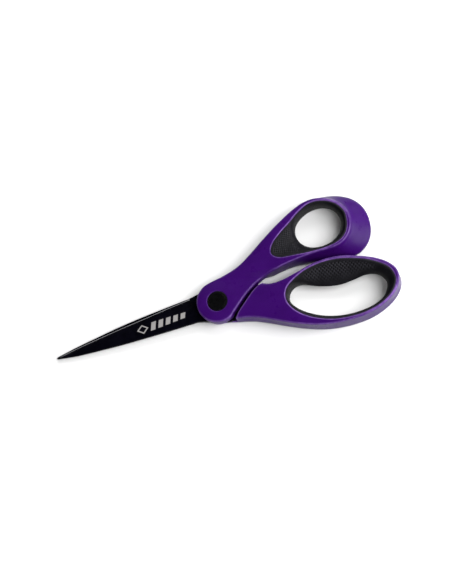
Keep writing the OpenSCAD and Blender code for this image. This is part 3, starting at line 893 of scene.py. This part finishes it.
def ground_steel():
    """Bare ground strip along the cutting edge, with grinding lines across it."""
    m = Look("ground_edge", 0.4, Metallic=0.6)
    lines = m.noise(0.12, 3, m.stretched((1, 0.08, 1)))
    base = m.mix(m.span(lines, 0.3, 0.7), rgb(0.19, 0.19, 0.2), rgb(0.27, 0.27, 0.28))
    rough = m.span(m.noise(0.8, 4), 0.3, 0.7, 0.36, 0.5)
    return m.finish(base, rough, [(lines, 0.005)])


def cap_plastic():
    """Black moulded cap: fine grain with faint turning rings, and a painted highlight on its outer
    edges.
    """
    m = Look("cap_plastic", 0.3, IOR=1.46, Specular_IOR_Level=0.05)
    rings = m.add("ShaderNodeTexWave", wave_type="RINGS", rings_direction="Z")
    m.put(rings.inputs["Vector"], m.place)
    m.put(rings.inputs["Scale"], 1 / (2.2 * MM))
    m.put(rings.inputs["Distortion"], 0.3)
    base = m.mix(m.span(m.noise(2, 3), 0.3, 0.7), rgb(0.0009, 0.0009, 0.001),
                 rgb(0.0018, 0.0018, 0.0019))
    # Painted highlight: the cap's outer edges paler
    base = m.mix(m.math("MULTIPLY", m.edges(0.52, 0.6), 0.4), base, rgb(0.012, 0.012, 0.012))
    rough = m.span(m.noise(0.7, 4), 0.3, 0.7, 0.26, 0.34)
    return m.finish(base, rough, [(rings.outputs["Fac"], 0.003), (m.noise(0.15, 3), 0.006)])


def pivot_steel():
    """Bright turned steel with a little oil staining."""
    m = Look("pivot_steel", 0.3, Metallic=1.0)
    lines = m.noise(0.15, 3, m.stretched((1, 1, 6)))
    base = m.mix(m.span(m.noise(1.5, 4), 0.35, 0.7), rgb(0.55, 0.55, 0.54),
                 rgb(0.38, 0.37, 0.35))
    return m.finish(base, m.span(m.noise(0.6, 4), 0.3, 0.7, 0.22, 0.4), [(lines, 0.004)])


def washer_plastic():
    """Milky plastic of the sliding washer."""
    m = Look("washer_plastic", 0.45, IOR=1.5)
    base = m.mix(m.span(m.noise(1.2, 3), 0.3, 0.7), rgb(0.58, 0.57, 0.53),
                 rgb(0.68, 0.67, 0.63))
    return m.finish(base, m.span(m.noise(0.5, 3), 0.3, 0.7, 0.4, 0.52),
                    [(m.noise(0.1, 3), 0.004)])


PLASTIC, RUBBER, CAP = handle_plastic(), grip_rubber(), cap_plastic()
COATING, PRINTED_COATING, EDGE = coated_steel(), coated_steel(mark=True), ground_steel()
STEEL, WASHER = pivot_steel(), washer_plastic()

# ---- pieces ------------------------------------------------------------------------------------


def add_piece(obj, material, body, node):
    """Gives a mesh its finish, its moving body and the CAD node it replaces."""
    obj.data.materials.clear()
    obj.data.materials.append(material)
    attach(obj, body)
    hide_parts(node)
    return obj


def paint_ground_edge(obj, z, side, edge_side):
    """Gives the lowest strip of a blade's bevel the bare steel finish."""
    obj.data.materials.append(EDGE)
    for face in obj.data.polygons:
        n = face.normal
        across, up = n.y * edge_side, n.z * side
        low = abs(face.center.z / MM - z) < 0.75 * BARE
        if low and across > 0.35 and up > 0.3 and face.center.x < -12 * MM:
            face.material_index = 1


def soften(obj, degrees=32):
    """Smooth shading with sharp edges kept sharp."""
    obj.data.shade_smooth()
    obj.data.set_sharp_from_angle(angle=math.radians(degrees))


GRIP_STEP, HANDLE_STEP = ((0.3, 0.4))

add_piece(net_object("finger_shell", finger_plan, finger_handle_field, "finger_handle",
                     HANDLE_STEP), PLASTIC, "finger_half", "finger_handle")
add_piece(net_object("finger_liner", finger_grip_plan, finger_grip_field, "finger_grip",
                     GRIP_STEP), RUBBER, "finger_half", "finger_grip")
add_piece(net_object("thumb_shell", thumb_plan, thumb_handle_field, "thumb_handle",
                     HANDLE_STEP), PLASTIC, "thumb_half", "thumb_handle")
add_piece(net_object("thumb_liner", thumb_grip_plan, thumb_grip_field, "thumb_grip",
                     GRIP_STEP), RUBBER, "thumb_half", "thumb_grip")

lower = add_piece(blade("lower_blade", REAR_EDGE, REAR_SPINE, rear_tang, rear_heel, CONTACT_Z, -1),
                  COATING, "finger_half", "rear_blade")
paint_ground_edge(lower, CONTACT_Z, -1, -1)
upper = add_piece(blade("upper_blade", FRONT_EDGE, FRONT_SPINE, front_tang, front_heel,
                        FRONT_BLADE_Z, 1),
                  PRINTED_COATING, "thumb_half", "front_blade")
paint_ground_edge(upper, FRONT_BLADE_Z, 1, 1)
for part in (lower, upper):
    soften(part)

for name, levels, face, body, node in (
        ("rear_cap_disc", REAR_CAP_Z, -1, "finger_half", "rear_pivot_cap"),
        ("front_cap_disc", FRONT_CAP_Z, 1, "thumb_half", "front_pivot_cap")):
    soften(add_piece(cap(name, *levels, face), CAP, body, node))

for node, material, slot in (
        ("pivot_nut", STEEL, "pivot_steel"), ("pivot_screw", STEEL, "pivot_steel"),
        ("screw_washer", STEEL, "pivot_steel"), ("spring_washer", STEEL, "pivot_steel"),
        ("blade_washer", WASHER, "washer_plastic")):
    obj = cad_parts[node]
    obj.data.materials.clear()
    obj.data.materials.append(material)

# ---- floor, lights and camera ------------------------------------------------------------------


def floor():
    """A pale table that the closed scissors lie on, on the blade tips and the backs of the loops."""
    points = np.concatenate([
        np.array([o.matrix_world @ v.co for v in o.data.vertices])[:, [0, 2]]
        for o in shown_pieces()])
    tip = points[points[:, 0] < points[:, 0].min() + 2 * MM]
    tip = tip[tip[:, 1].argmin()]
    slopes = (points[:, 1] - tip[1]) / np.maximum(points[:, 0] - tip[0], 1e-9)
    far_side = points[:, 0] > 0.02
    slope = slopes[far_side].min()
    size, drop = 3.0, 0.02 * MM
    mesh = bpy.data.meshes.new("floor")
    corners = [(sx * size, sy * size) for sx, sy in ((-1, -1), (1, -1), (1, 1), (-1, 1))]
    verts = [(x, y, tip[1] - drop + slope * (x - tip[0])) for x, y in corners]
    mesh.from_pydata(verts, [], [(0, 1, 2, 3)])
    obj = bpy.data.objects.new("floor", mesh)
    bpy.context.scene.collection.objects.link(obj)
    m = Look("floor", 0.6, Specular_IOR_Level=0.1)
    base = m.mix(m.span(m.noise(60, 3), 0.3, 0.7), rgb(0.66, 0.66, 0.66),
                 rgb(0.68, 0.68, 0.68))
    obj.data.materials.append(m.finish(base, 0.6, [(m.noise(1, 3), 0.01)]))
    obj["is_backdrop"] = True


AZIMUTH, ELEVATION, ROLL = math.radians(18.9), math.radians(71.8), math.radians(-37)
BACK = Vector((math.sin(AZIMUTH) * math.cos(ELEVATION),
               -math.cos(AZIMUTH) * math.cos(ELEVATION), math.sin(ELEVATION)))
TURN = BACK.to_track_quat("Z", "Y").to_matrix() @ Matrix.Rotation(ROLL, 3, "Z")
RIGHT, UP = TURN.col[0], TURN.col[1]


def camera():
    """A long lens from above the handles' side, turned so that the blades point down left."""
    data = bpy.data.cameras.new("camera")
    data.lens = 200
    data.sensor_width = 36
    obj = bpy.data.objects.new("camera", data)
    bpy.context.scene.collection.objects.link(obj)
    frame_height = 348.6 * MM
    distance = frame_height * data.lens / data.sensor_width
    aim = Vector((0, 0, 10.6 * MM)) + RIGHT * 5.28 * MM + UP * 5.34 * MM
    obj.matrix_world = Matrix.Translation(aim + BACK * distance) @ TURN.to_4x4()
    data.clip_start, data.clip_end = 0.1, 20
    bpy.context.scene.camera = obj


def soft_light(name, right, up, back, size, watts):
    """A square area light about a metre from the object, placed along the camera's axes."""
    direction = RIGHT * right + UP * up + BACK * back
    data = bpy.data.lights.new(name, "AREA")
    data.size = size
    data.energy = watts
    obj = bpy.data.objects.new(name, data)
    bpy.context.scene.collection.objects.link(obj)
    obj.location = direction
    obj.rotation_mode = "QUATERNION"
    obj.rotation_quaternion = direction.to_track_quat("Z", "Y")


def surroundings(strength):
    """A faint even white light from everywhere."""
    world = bpy.data.worlds.new("studio")
    bpy.context.scene.world = world
    world.use_nodes = True
    world.node_tree.nodes["Background"].inputs["Color"].default_value = (1, 1, 1, 1)
    world.node_tree.nodes["Background"].inputs["Strength"].default_value = strength


camera()
floor()
for name, right, up, back, size, watts in (
        ("key", 0.1, 0.9, 0.4, 0.8, 11),
        ("upper_right", 0.55, 0.75, 0.4, 0.7, 3),
        ("overhead", 0.49, 0.17, 0.85, 0.6, 11),
        ("front", 0.15, -0.15, 0.98, 0.6, 2.5),
        ("right", 0.92, 0.1, 0.35, 0.7, 14),
        ("lower_right", 0.65, -0.65, 0.4, 0.7, 6),
        ("below", 0.0, -0.85, 0.5, 0.7, 4)):
    soft_light(name, right, up, back, size, watts)
surroundings(0.03)
bpy.context.scene.view_settings.view_transform = "Standard"
bpy.context.scene.view_settings.look = "None"
